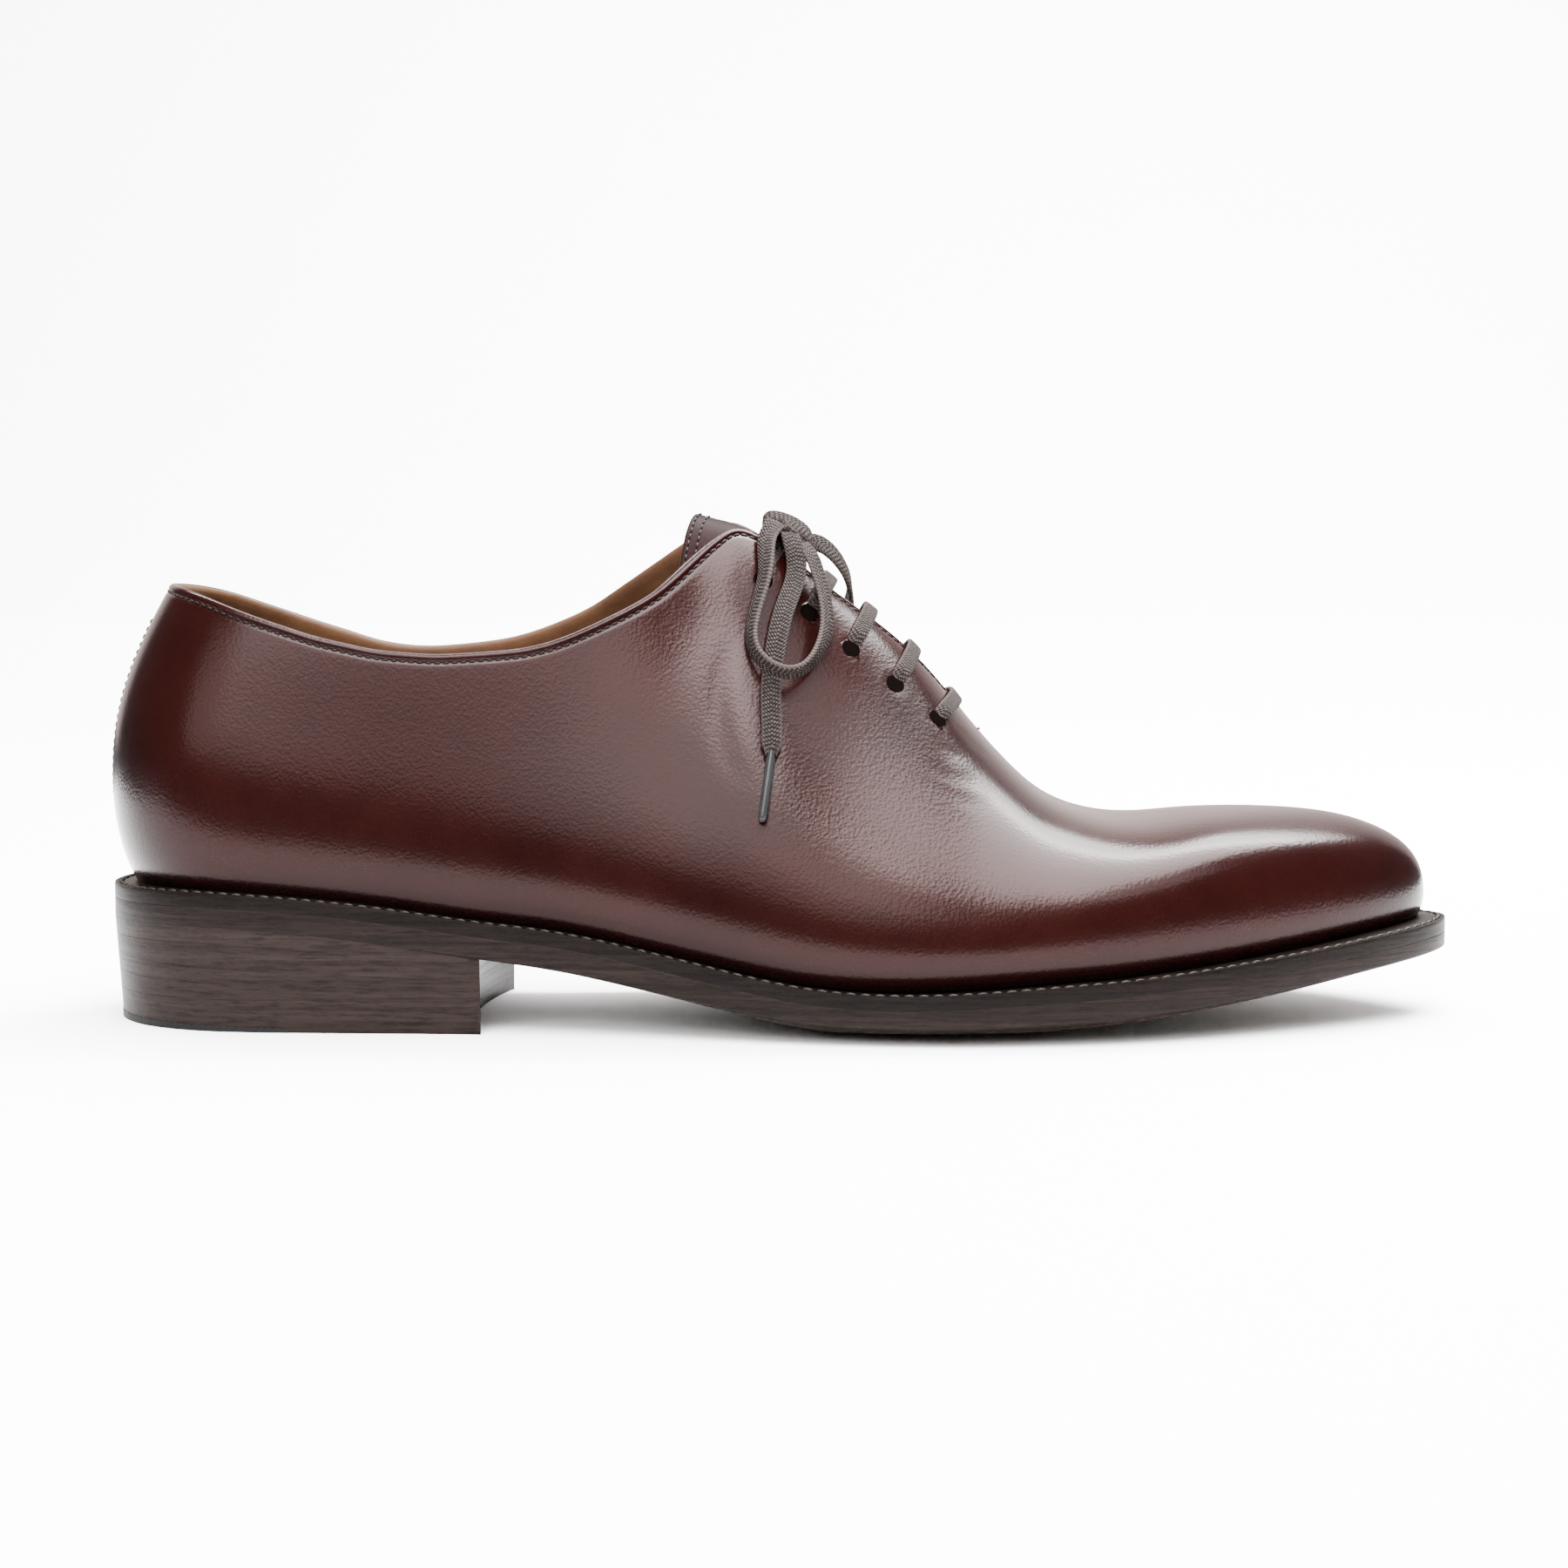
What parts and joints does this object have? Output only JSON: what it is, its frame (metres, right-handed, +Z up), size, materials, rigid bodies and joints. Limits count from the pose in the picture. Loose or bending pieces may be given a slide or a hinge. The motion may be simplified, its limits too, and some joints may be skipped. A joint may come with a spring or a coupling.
{
  "type": "whole cut oxford shoe",
  "caption": "Right whole cut oxford: hollow one-piece leather upper with a laced slit, tongue, welted leather sole and stacked heel.",
  "frame": {"origin": "on the floor, under the centre of the shoe's box without the bow", "axes": "+X from heel to toe, +Y to the medial side, +Z up"},
  "size_m": [0.303, 0.1044, 0.1135],
  "materials": {
    "burgundy_calf": "polished, fine pebble grain",
    "dark_sole_edge": "stained and waxed edge",
    "dark_stacked_leather": "stained and waxed lifts",
    "black_rubber": "matte",
    "tan_sock_leather": "natural lining leather",
    "dark_grey_lace": "flat waxed weave",
    "dark_aglet": "smooth"
  },
  "bodies": {
    "root": {"outsole": "dark_sole_edge", "welt": "dark_sole_edge", "heel_lift_1": "dark_stacked_leather", "heel_lift_2": "dark_stacked_leather", "heel_lift_3": "dark_stacked_leather", "heel_lift_4": "dark_stacked_leather", "heel_top_piece": "black_rubber", "insole": "tan_sock_leather", "upper": "burgundy_calf", "tongue": "burgundy_calf", "lace_bar_2": "dark_grey_lace", "lace_bar_3": "dark_grey_lace", "lace_bar_4": "dark_grey_lace", "lace_bar_5": "dark_grey_lace", "lace_knot": "dark_grey_lace", "lace_loop_lateral": "dark_grey_lace", "lace_loop_medial": "dark_grey_lace", "lace_end_lateral": "dark_grey_lace", "lace_end_medial": "dark_grey_lace", "aglet_lateral": "dark_aglet", "aglet_medial": "dark_aglet"}
  },
  "joints": []
}
